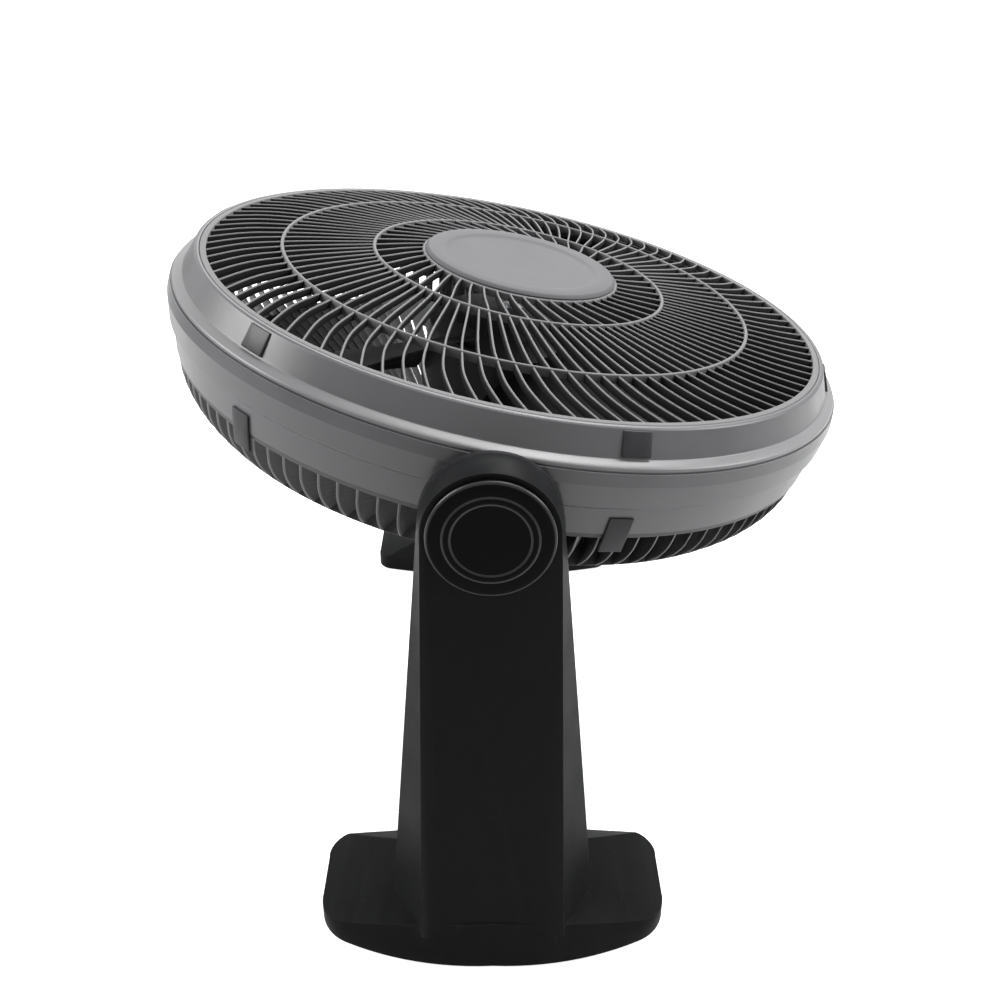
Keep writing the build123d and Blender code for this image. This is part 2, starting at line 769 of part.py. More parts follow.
def rubber_feet():
    """Four round pads under each foot plate."""
    pad = extrude(RegularPolygon(12, 12), PLATE_Z)
    pads = []
    for x in (-72, 72):
        for y in (FOOT_IN + 32, FOOT_OUT - 32):
            pads += both_sides(Pos(x, y, 0) * pad)
    return as_group(pads)


def cross_bridge():
    """Channel that joins the two feet under the head."""
    half = BRIDGE_HALF_X
    inner = half - BRIDGE_WALL
    bottom = PLATE_Z + FOOT_PLATE_THICK
    top = bridge_top()
    section = Plane.XZ * make_face(Polyline(
        (-half, bottom), (-half, top - 6), (-half + 6, top), (half - 6, top),
        (half, top - 6), (half, bottom), (inner, bottom), (inner, top - 6.5),
        (inner - 4.5, top - BRIDGE_WALL), (-inner + 4.5, top - BRIDGE_WALL),
        (-inner, top - 6.5), (-inner, bottom), close=True,
    ))
    channel = extrude(section, BRIDGE_END, both=True)
    for x in (-38, 38):
        for y in (-BRIDGE_END + 10, BRIDGE_END - 10):
            channel -= Pos(x, y, 0) * stud(2.7, top - 5, top + 1)
    return channel


def bridge_bolts():
    """Bolts from under the channel into the feet."""
    top = bridge_top()
    under = top - BRIDGE_WALL
    bolt = stud(5, under - 3.5, under) + stud(2.5, under, top + 3.5)
    bolts = []
    for x in (-38, 38):
        bolts += both_sides(Pos(x, BRIDGE_END - 10, 0) * bolt)
    return as_group(bolts)


# Tilt joint hardware

def pivot_bolt():
    """Shoulder bolt whose head sits in the cup under the cap."""
    seat = ARM_OUT_TOP - CUP_DEPTH
    head = Pos(0, seat, 0) * Rot(-90, 0, 0) * extrude(RegularPolygon(11, 6), 7)
    return at_pivot(head + cross_rod(BOLT_R, DUCT_FACE - 8, seat))


def pivot_nuts():
    """Thin nuts inside the duct."""
    nut = Pos(0, DUCT_FACE - GAP, 0) * Rot(90, 0, 0) * extrude(RegularPolygon(10.5, 6), 6)
    nut -= cross_rod(BOLT_R - PRESS, DUCT_FACE - 12, DUCT_FACE + 1)
    return as_group(both_sides(at_pivot(nut)))


def friction_washers():
    """Washers between the arm covers and the head's bushings."""
    face = ARM_IN - COVER_THICK
    washer = cross_rod(20, BOSS_FACE + BUSHING_FLANGE + GAP, face)
    washer -= cross_rod(BOLT_R + 0.2, BOSS_FACE, face + 1)
    return as_group(both_sides(at_pivot(washer)))


def pivot_cap():
    """Round cap over the bolt, with two shallow rings on its face."""
    out = ARM_OUT_TOP + CAP_THICK
    profile = [
        (0, ARM_OUT_TOP - 1), (CUP_R - 3, ARM_OUT_TOP - 1), (CUP_R - 3, ARM_OUT_TOP - 4),
        (CUP_R, ARM_OUT_TOP - 4), (CUP_R, ARM_OUT_TOP), (CAP_R, ARM_OUT_TOP),
        (CAP_R, out - 1.2), (CAP_R - 1.2, out), (30, out), (29, out - 1), (25, out - 1),
        (24, out), (0, out),
    ]
    return at_pivot(Rot(-90, 0, 0) * spin(profile))


def main_parts():
    """Every node by name, in its rest place."""
    head = head_place()
    head_parts = {
        "front_grille": front_guard(),
        "centre_badge": badge(),
        "front_bezel": bezel(),
        "front_clips": front_clips(),
        "head_shell": head_shell(),
        "pivot_bushings": pivot_bushings(),
        "rear_grille": rear_guard(),
        "rear_clips": rear_clips(),
        "motor_can": motor_can(),
        "motor_endbell": motor_endbell(),
        "stator_core": stator_core(),
        "stator_windings": stator_windings(),
        "motor_bearings": motor_bearings(),
        "motor_bolts": motor_bolts(),
        "rear_cover": rear_cover(),
        "rear_cover_screws": cover_screws(),
        "cord_gland": cord_gland(),
        "speed_switch": speed_switch(),
        "run_capacitor": run_capacitor(),
        "speed_knob": speed_knob(),
        "motor_shaft": motor_shaft(),
        "rotor_core": rotor_core(),
        "impeller": impeller(),
        "impeller_nut": impeller_nut(),
    }
    parts = {name: placed(head, solid) for name, solid in head_parts.items()}
    sides = {
        "side_frame": side_frame(),
        "arm_cover": arm_cover(),
        "foot_plate": foot_plate(),
        "pivot_bolt": pivot_bolt(),
        "pivot_cap": pivot_cap(),
    }
    for name, solid in sides.items():
        parts[name + "_far"], parts[name + "_near"] = both_sides(solid)
    parts["cross_bridge"] = cross_bridge()
    parts["bridge_bolts"] = bridge_bolts()
    parts["arm_cover_screws"] = arm_cover_screws()
    parts["foot_screws"] = foot_screws()
    parts["rubber_feet"] = rubber_feet()
    parts["pivot_nuts"] = pivot_nuts()
    parts["friction_washers"] = friction_washers()
    return parts


os.makedirs("parts", exist_ok=True)
for name, solid in main_parts().items():
    export_step(placed(Pos(PIVOT_X, 0, 0), solid), f"parts/{name}.step")
    print(name, round(solid.volume), len(solid.solids()))
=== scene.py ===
import math

import bmesh
import bpy
from mathutils import Matrix, Vector


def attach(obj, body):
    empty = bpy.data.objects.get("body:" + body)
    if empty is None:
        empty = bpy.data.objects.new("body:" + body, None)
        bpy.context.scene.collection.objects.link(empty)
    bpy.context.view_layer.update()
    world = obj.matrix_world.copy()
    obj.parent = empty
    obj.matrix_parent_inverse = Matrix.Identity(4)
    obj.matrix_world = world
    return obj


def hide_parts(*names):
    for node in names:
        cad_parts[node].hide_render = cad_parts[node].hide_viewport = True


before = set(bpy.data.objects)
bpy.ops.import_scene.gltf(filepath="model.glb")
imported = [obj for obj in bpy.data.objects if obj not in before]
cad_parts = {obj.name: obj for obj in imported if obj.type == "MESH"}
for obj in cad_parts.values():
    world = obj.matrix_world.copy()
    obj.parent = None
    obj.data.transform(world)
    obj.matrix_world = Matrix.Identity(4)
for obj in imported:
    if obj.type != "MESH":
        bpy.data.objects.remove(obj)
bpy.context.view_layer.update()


# Side frames: each foot and its arm are one injection-moulded piece of near-black
# plastic. Its edges are eased by the mould, and a fine spark texture on its faces
# leaves a soft sheen. The edges are a little paler, partly rubbed wear and partly a painted
# highlight.
EDGE_REACH = 0.0009
FRAME_EDGE = 0.0016
CLOUD_TINT = 0.14


def fresh_group(name, inputs, outputs):
    """A shader node group with its named sockets, and its two end nodes."""
    group = bpy.data.node_groups.new(name, "ShaderNodeTree")
    for label, kind, value in inputs:
        socket = group.interface.new_socket(label, in_out="INPUT", socket_type=kind)
        if value is not None:
            socket.default_value = value
    for label, kind in outputs:
        group.interface.new_socket(label, in_out="OUTPUT", socket_type=kind)
    return group, group.nodes.new("NodeGroupInput"), group.nodes.new("NodeGroupOutput")


def spark_texture():
    """Fine grain left by the mould, and large soft clouds of duller finish."""
    group, inside, out = fresh_group(
        "Spark texture",
        [("Place", "NodeSocketVector", None), ("Grains per metre", "NodeSocketFloat", 1500.0)],
        [("Height", "NodeSocketFloat"), ("Mottle", "NodeSocketFloat")],
    )
    grain = group.nodes.new("ShaderNodeTexNoise")
    grain.inputs["Detail"].default_value = 3.0
    grain.inputs["Roughness"].default_value = 0.6
    cloud = group.nodes.new("ShaderNodeTexNoise")
    cloud.inputs["Scale"].default_value = 22.0
    cloud.inputs["Detail"].default_value = 4.0
    group.links.new(inside.outputs["Place"], grain.inputs["Vector"])
    group.links.new(inside.outputs["Grains per metre"], grain.inputs["Scale"])
    group.links.new(inside.outputs["Place"], cloud.inputs["Vector"])
    group.links.new(grain.outputs["Fac"], out.inputs["Height"])
    group.links.new(cloud.outputs["Fac"], out.inputs["Mottle"])
    return group


def rubbed_and_highlit_edges():
    """Mask of the edges, in uneven patches, for rubbed wear and a painted edge highlight."""
    group, inside, out = fresh_group(
        "Rubbed and highlit edges", [("Place", "NodeSocketVector", None)], [("Mask", "NodeSocketFloat")]
    )
    rounded = group.nodes.new("ShaderNodeBevel")
    rounded.samples = 4
    rounded.inputs["Radius"].default_value = EDGE_REACH
    surface = group.nodes.new("ShaderNodeNewGeometry")
    aligned = group.nodes.new("ShaderNodeVectorMath")
    aligned.operation = "DOT_PRODUCT"
    away = group.nodes.new("ShaderNodeMapRange")
    away.inputs["From Min"].default_value = 0.995
    away.inputs["From Max"].default_value = 0.90
    patches = group.nodes.new("ShaderNodeTexNoise")
    patches.inputs["Scale"].default_value = 60.0
    patches.inputs["Detail"].default_value = 3.0
    both = group.nodes.new("ShaderNodeMath")
    both.operation = "MULTIPLY"
    group.links.new(rounded.outputs["Normal"], aligned.inputs[0])
    group.links.new(surface.outputs["True Normal"], aligned.inputs[1])
    group.links.new(aligned.outputs["Value"], away.inputs["Value"])
    group.links.new(inside.outputs["Place"], patches.inputs["Vector"])
    group.links.new(away.outputs["Result"], both.inputs[0])
    group.links.new(patches.outputs["Fac"], both.inputs[1])
    group.links.new(both.outputs["Value"], out.inputs["Mask"])
    return group


SPARK = spark_texture()
RUB_AND_HIGHLIGHT = rubbed_and_highlit_edges()


def moulded(name, colour, edge, roughness, grain, sheen=0.35, depth=0.00004):
    """Moulded plastic: a spark-textured skin, cloudy sheen, and paler edges of rubbed wear and
    painted highlight.
    """
    material = bpy.data.materials.new(name)
    material.use_nodes = True
    tree = material.node_tree
    shader = tree.nodes["Principled BSDF"]
    shader.inputs["Specular IOR Level"].default_value = sheen
    place = tree.nodes.new("ShaderNodeTexCoord")
    spark = tree.nodes.new("ShaderNodeGroup")
    spark.node_tree = SPARK
    spark.inputs["Grains per metre"].default_value = grain
    rub_and_highlight = tree.nodes.new("ShaderNodeGroup")
    rub_and_highlight.node_tree = RUB_AND_HIGHLIGHT
    tree.links.new(place.outputs["Object"], spark.inputs["Place"])
    tree.links.new(place.outputs["Object"], rub_and_highlight.inputs["Place"])
    clouded = tree.nodes.new("ShaderNodeMix")
    clouded.data_type = "RGBA"
    clouded.inputs[6].default_value = (*[c * (1 - CLOUD_TINT) for c in colour], 1)
    clouded.inputs[7].default_value = (*[c * (1 + CLOUD_TINT) for c in colour], 1)
    tree.links.new(spark.outputs["Mottle"], clouded.inputs[0])
    # The paler edge colour is partly rubbed wear and partly a painted highlight.
    worn_and_highlit = tree.nodes.new("ShaderNodeMix")
    worn_and_highlit.data_type = "RGBA"
    worn_and_highlit.inputs[7].default_value = (*edge, 1)
    tree.links.new(rub_and_highlight.outputs["Mask"], worn_and_highlit.inputs[0])
    tree.links.new(clouded.outputs[2], worn_and_highlit.inputs[6])
    tree.links.new(worn_and_highlit.outputs[2], shader.inputs["Base Color"])
    gloss = tree.nodes.new("ShaderNodeMapRange")
    gloss.inputs["From Min"].default_value = 0.3
    gloss.inputs["From Max"].default_value = 0.7
    gloss.inputs["To Min"].default_value = roughness - 0.05
    gloss.inputs["To Max"].default_value = roughness + 0.06
    tree.links.new(spark.outputs["Mottle"], gloss.inputs["Value"])
    tree.links.new(gloss.outputs["Result"], shader.inputs["Roughness"])
    bump = tree.nodes.new("ShaderNodeBump")
    bump.inputs["Strength"].default_value = 0.5
    bump.inputs["Distance"].default_value = depth
    tree.links.new(spark.outputs["Height"], bump.inputs["Height"])
    tree.links.new(bump.outputs["Normal"], shader.inputs["Normal"])
    return material


def eased(obj, width, segments=3, angle=25):
    """Round the edges of a piece and shade its faces flat between them."""
    bevel = obj.modifiers.new("Eased edges", "BEVEL")
    bevel.width = width
    bevel.segments = segments
    bevel.limit_method = "ANGLE"
    bevel.angle_limit = math.radians(angle)
    bevel.harden_normals = True
    bevel.use_clamp_overlap = True
    obj.data.shade_smooth()
    return obj


def linked_piece(name, bm):
    """Turn a finished bmesh into an object in the scene."""
    mesh = bpy.data.meshes.new(name)
    bm.to_mesh(mesh)
    bm.free()
    obj = bpy.data.objects.new(name, mesh)
    bpy.context.scene.collection.objects.link(obj)
    return obj


def welded_copy(name, node):
    """A joined-up copy of a CAD node's mesh, ready for its edges to be eased."""
    bm = bmesh.new()
    bm.from_mesh(bpy.data.objects[node].data)
    bmesh.ops.remove_doubles(bm, verts=bm.verts[:], dist=2e-6)
    bmesh.ops.dissolve_limit(
        bm, angle_limit=math.radians(0.4), verts=bm.verts[:], edges=bm.edges[:]
    )
    return linked_piece(name, bm)


def finish_piece(obj, material, body, slot, *nodes):
    """Give a piece its material and its body, and hide the nodes it stands for. The slot is not
    used.
    """
    obj.data.materials.append(material)
    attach(obj, body)
    if nodes:
        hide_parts(*nodes)
    return obj


stand_black = moulded(
    "Stand black", (0.0125, 0.0128, 0.0135), (0.036, 0.036, 0.039), 0.38, 1700.0, 0.03
)
for side in ("far", "near"):
    side_frame = welded_copy(f"{side}_frame", f"side_frame_{side}")
    eased(side_frame, FRAME_EDGE)
    finish_piece(side_frame, stand_black, "stand", "stand_plastic", f"side_frame_{side}")


# Arm covers and foot plates: flat lids moulded in the same plastic with a coarser
# texture, and screwed over the open sides of the frames.
def dress(node, material):
    """Give a CAD node its material."""
    obj = bpy.data.objects[node]
    obj.data.materials.clear()
    obj.data.materials.append(material)


lid_black = moulded("Lid black", (0.009, 0.009, 0.01), (0.03, 0.03, 0.032), 0.48, 1100.0, 0.16)
for side in ("far", "near"):
    dress(f"arm_cover_{side}", lid_black)
    dress(f"foot_plate_{side}", lid_black)


# Screws and bridge bolts: turned from steel with a black-oxide finish, slightly oily.
# They hold the arm and foot lids, the bridge and the rear cover.
def bare_metal(name, colour, roughness, streaks):
    """Metal with fine streaks of brighter and duller finish."""
    material = bpy.data.materials.new(name)
    material.use_nodes = True
    tree = material.node_tree
    shader = tree.nodes["Principled BSDF"]
    shader.inputs["Metallic"].default_value = 1.0
    place = tree.nodes.new("ShaderNodeTexCoord")
    spark = tree.nodes.new("ShaderNodeGroup")
    spark.node_tree = SPARK
    spark.inputs["Grains per metre"].default_value = streaks
    tree.links.new(place.outputs["Object"], spark.inputs["Place"])
    tint = tree.nodes.new("ShaderNodeMix")
    tint.data_type = "RGBA"
    tint.inputs[6].default_value = (*[c * 0.75 for c in colour], 1)
    tint.inputs[7].default_value = (*colour, 1)
    tree.links.new(spark.outputs["Height"], tint.inputs[0])
    tree.links.new(tint.outputs[2], shader.inputs["Base Color"])
    gloss = tree.nodes.new("ShaderNodeMapRange")
    gloss.inputs["To Min"].default_value = roughness - 0.08
    gloss.inputs["To Max"].default_value = roughness + 0.10
    tree.links.new(spark.outputs["Mottle"], gloss.inputs["Value"])
    tree.links.new(gloss.outputs["Result"], shader.inputs["Roughness"])
    return material


black_oxide = bare_metal("Black oxide", (0.09, 0.09, 0.095), 0.42, 900.0)
for node in ("arm_cover_screws", "foot_screws", "bridge_bolts", "rear_cover_screws"):
    dress(node, black_oxide)


# Rubber: the pads under the feet, the friction washers and the cord bush are
# moulded in soft black rubber with a dry, dusty surface.
rubber = moulded("Black rubber", (0.02, 0.02, 0.02), (0.03, 0.03, 0.03), 0.78, 2200.0, 0.2)
for node in ("rubber_feet", "friction_washers", "cord_gland"):
    dress(node, rubber)


# Cross bridge: a folded sheet steel channel with a black powder coat. It is bolted
# between the two feet and keeps the arms parallel.
BRIDGE_EDGE = 0.0009
powder = moulded(
    "Powder coat", (0.02, 0.02, 0.022), (0.07, 0.07, 0.075), 0.5, 700.0, 0.4, 0.0001
)
bridge = welded_copy("bridge", "cross_bridge")
eased(bridge, BRIDGE_EDGE)
finish_piece(bridge, powder, "stand", "bridge_steel", "cross_bridge")


# Pivot bolts and nuts, motor bolts and impeller nut: bright zinc-plated steel. Nearly
# all of it is behind the arms, the drum or the guards.
zinc = bare_metal("Zinc plate", (0.62, 0.63, 0.66), 0.28, 500.0)
for node in ("pivot_bolt_far", "pivot_bolt_near", "pivot_nuts", "motor_bolts", "impeller_nut"):
    dress(node, zinc)


# Pivot caps: satin discs pressed over the bolts, with a low raised ring on the face.
# They are turned shapes, so their rims are drawn as smooth curves. The sloping faces of
# the ring and the rim carry a painted highlight in a paler black.
PIVOT = Vector((-0.0143, 0.0, 0.360))
MM = 0.001
CAP_HIGHLIGHT_INNER = 24


def turned(name, outline, steps=160):
    """Closed (radius, height) outline in millimetres swept once round its Z axis."""
    bm = bmesh.new()
    rim = [bm.verts.new((r * MM, 0, z * MM)) for r, z in outline]
    edges = [bm.edges.new(pair) for pair in zip(rim, rim[1:] + rim[:1])]
    bmesh.ops.spin(
        bm, geom=rim + edges, cent=(0, 0, 0), axis=(0, 0, 1),
        angle=math.tau, steps=steps, use_merge=True,
    )
    bmesh.ops.remove_doubles(bm, verts=bm.verts[:], dist=1e-6)
    bmesh.ops.dissolve_degenerate(bm, dist=1e-7, edges=bm.edges[:])
    bmesh.ops.recalc_face_normals(bm, faces=bm.faces[:])
    return linked_piece(name, bm)


cap_black = moulded("Cap black", (0.0022, 0.0023, 0.0025), (0.10, 0.10, 0.10), 0.22, 1500.0, 0.05)
cap_ring_highlight = moulded("Cap ring painted highlight", (0.02, 0.02, 0.021), (0.10, 0.10, 0.10), 0.3, 1500.0, 0.3)
for side, quarter in (("far", -90), ("near", 90)):
    cap = turned(f"{side}_cap", [
        (0, 307), (33.5, 307), (33.5, 304), (36.5, 304), (36.5, 308), (41.3, 308),
        (41.3, 311.6), (40.6, 312.7), (39.5, 313), (31.2, 313), (30.6, 313.3),
        (29.8, 313.6), (26.2, 313.6), (25.4, 313.3), (24.8, 313), (0, 313),
    ])
    # Sloping faces beyond the middle get the painted-highlight material.
    for face in cap.data.polygons:
        past_highlight_inner = math.hypot(face.center.x, face.center.y) > CAP_HIGHLIGHT_INNER * MM
        sloping = 0.1 < face.normal.z < 0.98
        face.material_index = 1 if past_highlight_inner and sloping else 0
    cap.data.transform(Matrix.Translation(PIVOT) @ Matrix.Rotation(math.radians(quarter), 4, "X"))
    eased(cap, 0.0004, 2)
    finish_piece(cap, cap_black, "stand", "cap_plastic", f"pivot_cap_{side}")
    cap.data.materials.append(cap_ring_highlight)


# Drum, front band and rear cover: graphite-grey moulded plastic. The band slopes up to
# the guard from a ridge, where it snaps over the drum's rim; the ridge's upward faces
# carry a painted highlight in a paler grey.
REST_TILT = 11.2
AXIS_OFFSET = 9
RIDGE_HIGHLIGHT_START = 268
HEAD = (
    Matrix.Translation(PIVOT)
    @ Matrix.Rotation(math.radians(REST_TILT), 4, "Y")
    @ Matrix.Translation((AXIS_OFFSET * MM, 0, 0))
)
drum_grey = moulded("Drum grey", (0.105, 0.105, 0.110), (0.22, 0.22, 0.23), 0.33, 1500.0, 0.5)
band = turned("front_band", [
    (255.8, 57.5), (255.8, 63.5), (258.0, 63.5), (259.6, 62.4), (266.2, 46.4),
    (267.2, 44.2), (272.8, 42.2), (274.3, 41.2), (274.9, 39.4), (274.9, 38.0),
    (268.5, 38.0), (263.5, 43.5), (258.2, 55.0), (249.0, 55.0), (249.0, 57.5),
], 240)
# Upward faces on the ridge get the paler painted-highlight material.
for face in band.data.polygons:
    in_ridge_highlight = math.hypot(face.center.x, face.center.y) > RIDGE_HIGHLIGHT_START * MM
    face.material_index = 1 if in_ridge_highlight and face.normal.z > 0.3 else 0
band.data.transform(HEAD)
eased(band, 0.0006, 2)
finish_piece(band, drum_grey, "head", "shell_plastic", "front_bezel")
ridge_highlight = moulded("Ridge painted highlight", (0.19, 0.19, 0.195), (0.28, 0.28, 0.29), 0.33, 1500.0, 0.6)
band.data.materials.append(ridge_highlight)
dress("head_shell", drum_grey)
dress("rear_cover", drum_grey)


# Front guard: slim ribs that sweep outward in three zones between two rings, a rim
# and the plate under the badge, moulded in one piece of paler grey plastic. The ribs'
# sides are painted much darker as the shade between them.
RIB_COUNT = 98
guard_grey = moulded("Guard grey", (0.19, 0.19, 0.193), (0.24, 0.24, 0.245), 0.48, 1500.0, 0.05)
guard_side_shade = moulded("Guard side painted shade", (0.024, 0.024, 0.025), (0.05, 0.05, 0.051), 0.6, 1500.0, 0.08)
SWEEP = [(81.5, -16.0), (120.5, -6.7), (193.0, 0.1), (222.0, 2.5), (250.5, 6.0)]
DISH = [(81.5, 81.0), (120.5, 77.5), (193.0, 70.5), (222.0, 67.4), (250.5, 63.5)]


def between(table, r):
    """Value at a radius on a smooth curve through a few known points."""
    for k in range(len(table) - 1):
        (r0, v0), (r1, v1) = table[k], table[k + 1]
        if r <= r1 or k == len(table) - 2:
            before = table[max(k - 1, 0)]
            after = table[min(k + 2, len(table) - 1)]
            slope_0 = (v1 - before[1]) / (r1 - before[0])
            slope_1 = (after[1] - v0) / (after[0] - r0)
            t = (r - r0) / (r1 - r0)
            span = r1 - r0
            return (
                (2 * t**3 - 3 * t**2 + 1) * v0 + (t**3 - 2 * t**2 + t) * span * slope_0
                + (3 * t**2 - 2 * t**3) * v1 + (t**3 - t**2) * span * slope_1
            )


def swept_ribs(bm, radii, count):
    """One rib drawn out through its radii, then repeated round the axis."""
    section = [
        (-0.75, -6.0), (0.75, -6.0), (1.0, -3.2), (0.8, -0.7), (0.45, 0.0),
        (-0.45, 0.0), (-0.8, -0.7), (-1.0, -3.2),
    ]
    loops = []
    for r in radii:
        turn = Matrix.Rotation(math.radians(between(SWEEP, r)), 4, "Z")
        ahead = between(SWEEP, r + 1.0) - between(SWEEP, r - 1.0)
        lean = math.atan2(math.radians(ahead) * r, 2.0)
        swing = Matrix.Rotation(lean, 4, "Z")
        here = turn @ Matrix.Translation((r * MM, 0, between(DISH, r) * MM)) @ swing
        loops.append([bm.verts.new(here @ Vector((0, x * MM, z * MM))) for x, z in section])
    faces = [bm.faces.new(loops[0][::-1]), bm.faces.new(loops[-1])]
    for low, high in zip(loops, loops[1:]):
        for k in range(len(section)):
            m = (k + 1) % len(section)
            face = bm.faces.new((low[k], low[m], high[m], high[k]))
            # Crown faces keep the guard grey; the sides get the painted-shade material.
            face.material_index = 0 if k in (3, 4, 5) else 1
            faces.append(face)
    verts = [v for loop in loops for v in loop]
    edges = list({e for f in faces for e in f.edges})
    bmesh.ops.spin(
        bm, geom=verts + edges + faces, cent=(0, 0, 0), axis=(0, 0, 1),
        angle=math.tau * (count - 1) / count, steps=count - 1, use_duplicate=True,
    )


bm = bmesh.new()
swept_ribs(bm, [80.5, 86, 92, 99, 106, 113, 120.5], RIB_COUNT // 2)
swept_ribs(bm, [120.5, 128, 137, 148, 160, 172, 183, 193], RIB_COUNT)
swept_ribs(bm, [193, 199, 205, 211, 217, 223, 230, 237, 244, 251.5], RIB_COUNT)
bmesh.ops.recalc_face_normals(bm, faces=bm.faces[:])
bm.transform(HEAD)
front_ribs = linked_piece("front_ribs", bm)
finish_piece(front_ribs, guard_grey, "head", "guard_plastic", "front_grille")
front_ribs.data.materials.append(guard_side_shade)
for name, outline in (
    ("inner_ring", [
        (119.2, 71.6), (121.8, 71.6), (121.8, 77.6), (121.2, 78.2), (119.8, 78.2), (119.2, 77.6),
    ]),
    ("outer_ring", [
        (191.7, 64.6), (194.3, 64.6), (194.3, 70.6), (193.7, 71.2), (192.3, 71.2), (191.7, 70.6),
    ]),
    ("guard_rim", [
        (250.5, 57.5), (255.5, 57.5), (255.5, 63.0), (254.8, 63.6), (251.2, 63.8), (250.5, 63.2),
    ]),
    ("badge_plate", [(0, 75.0), (81.6, 75.0), (81.6, 80.4), (80.8, 81.0), (0, 81.0)]),
):
    ring = turned(name, outline, 196)
    ring.data.transform(HEAD)
    eased(ring, 0.0004, 2)
    finish_piece(ring, guard_grey, "head", "guard_plastic")


# Badge: a bare dished disc of satin plastic with a bevelled rim. It is moulded apart
# and glued to the plate in the guard's middle.
badge_grey = moulded("Badge grey", (0.105, 0.105, 0.11), (0.30, 0.30, 0.31), 0.55, 1300.0, 0.15)
badge = turned("badge", [
    (0, 81.0), (79.0, 81.0), (79.5, 81.5), (79.5, 82.2), (77.4, 84.3), (76.6, 84.6),
    (64.0, 84.6), (62.6, 84.2), (61.0, 83.5), (58.0, 83.2), (0, 83.0),
], 160)
badge.data.transform(HEAD)
eased(badge, 0.0003, 2)
finish_piece(badge, badge_grey, "head", "badge_plastic", "centre_badge")


# Clips and knob: short black snap tabs hold the two guards to the drum, six at the front
# and six behind. The speed knob under the rear cover is moulded in the same plastic.
CLIP_EDGE = 0.0011
KNOB_EDGE = 0.0009
clip_black = moulded("Clip black", (0.028, 0.028, 0.031), (0.07, 0.07, 0.075), 0.4, 1500.0, 0.25)
for node in ("front_clips", "rear_clips"):
    clips = welded_copy(node.replace("clips", "tabs"), node)
    eased(clips, CLIP_EDGE)
    finish_piece(clips, clip_black, "head", "clip_plastic", node)
knob = welded_copy("knob", "speed_knob")
eased(knob, KNOB_EDGE)
finish_piece(knob, clip_black, "knob", "switch_plastic", "speed_knob")


# Rear guard: one moulding of deep fins. Those of the wall lean one way, so that little
# shows between them, from a rim under the drum round to a knuckle ring. Those of the
# cone run straight in to the plate behind the motor. The fins' outer edges are painted
# lighter as lit crowns and their sides darker as shade; the rim, ring and plate take the
# darker painted-shade tone.
WALL_CURVE = [(-52.5, 246.0), (-44.0, 254.6), (-36.0, 260.2), (-28.0, 264.0), (-14.0, 267.1)]
WALL_LOW, WALL_STEP, WALL_STEPS = -52.3, 4.8, 9
FIN_COUNT = 110
FIN_LEAN = math.radians(2.4)
HALF_FIN = 0.85
TIP_DEPTH = 0.9
DEPTH_LOW, DEPTH_LOSS = 18, 6
ROOT_RISE = 12.8


def leaning_fins(bm, stations, count, lean):
    """One fin through its inner and outer points, then repeated round the axis."""
    loops = []
    for (r_in, z_in), (r_out, z_out) in stations:
        root = Vector((r_in * math.cos(lean), r_in * math.sin(lean), z_in))
        edge = Vector((r_out, 0.0, z_out))
        back = (root - edge).normalized()
        side = Vector((0.0, HALF_FIN, 0.0))
        points = [
            root - side, root + side, edge + TIP_DEPTH * back + side, edge + 0.4 * side,
            edge - 0.4 * side, edge + TIP_DEPTH * back - side,
        ]
        loops.append([bm.verts.new(point * MM) for point in points])
    faces = [bm.faces.new(loops[0][::-1]), bm.faces.new(loops[-1])]
    for low, high in zip(loops, loops[1:]):
        for k in range(6):
            m = (k + 1) % 6
            face = bm.faces.new((low[k], low[m], high[m], high[k]))
            # Outer edge faces get the painted light, the sides the painted shade.
            face.material_index = 0 if k in (2, 3, 4) else 1
            faces.append(face)
    verts = [v for loop in loops for v in loop]
    edges = list({e for f in faces for e in f.edges})
    bmesh.ops.spin(
        bm, geom=verts + edges + faces, cent=(0, 0, 0), axis=(0, 0, 1),
        angle=math.tau * (count - 1) / count, steps=count - 1, use_duplicate=True,
    )


wall_stations = []
for k in range(WALL_STEPS):
    z = WALL_LOW + k * WALL_STEP
    share = k / (WALL_STEPS - 1)
    r = between(WALL_CURVE, z)
    root = (r - DEPTH_LOW + DEPTH_LOSS * share, z + ROOT_RISE * (1 - share) ** 1.2)
    wall_stations.append((root, (r, z)))
bm = bmesh.new()
leaning_fins(bm, wall_stations, FIN_COUNT, FIN_LEAN)
leaning_fins(bm, [((95, -104), (95, -110)), ((225, -39.6), (242, -52.6))], FIN_COUNT, 0.0)
bmesh.ops.recalc_face_normals(bm, faces=bm.faces[:])
bm.transform(HEAD)
rear_fins = linked_piece("rear_fins", bm)
fin_edge_light = moulded("Fin edge painted light", (0.18, 0.18, 0.185), (0.25, 0.25, 0.26), 0.4, 1500.0)
fin_side_shade = moulded("Fin side painted shade", (0.105, 0.105, 0.107), (0.12, 0.12, 0.122), 0.5, 1500.0, 0.2)
finish_piece(rear_fins, fin_edge_light, "head", "guard_plastic", "rear_grille")
rear_fins.data.materials.append(fin_side_shade)
for name, outline in (
    ("rear_rim", [(255.2, -16), (267.0, -16), (267.2, -15.5), (267.2, -12), (255.2, -12)]),
    ("knuckle_ring", [
        (224.0, -39.5), (241.0, -52.5), (246.0, -52.5), (246.2, -51.9), (228.5, -39.2),
    ]),
    ("motor_plate", [(0, -104), (96, -104), (96, -109.4), (95.4, -110), (0, -110)]),
):
    ring = turned(name, outline, 220)
    ring.data.transform(HEAD)
    eased(ring, 0.0004, 2)
    # The rim, knuckle ring and plate take the sides' darker painted-shade tone.
    finish_piece(ring, fin_side_shade, "head", "guard_plastic")


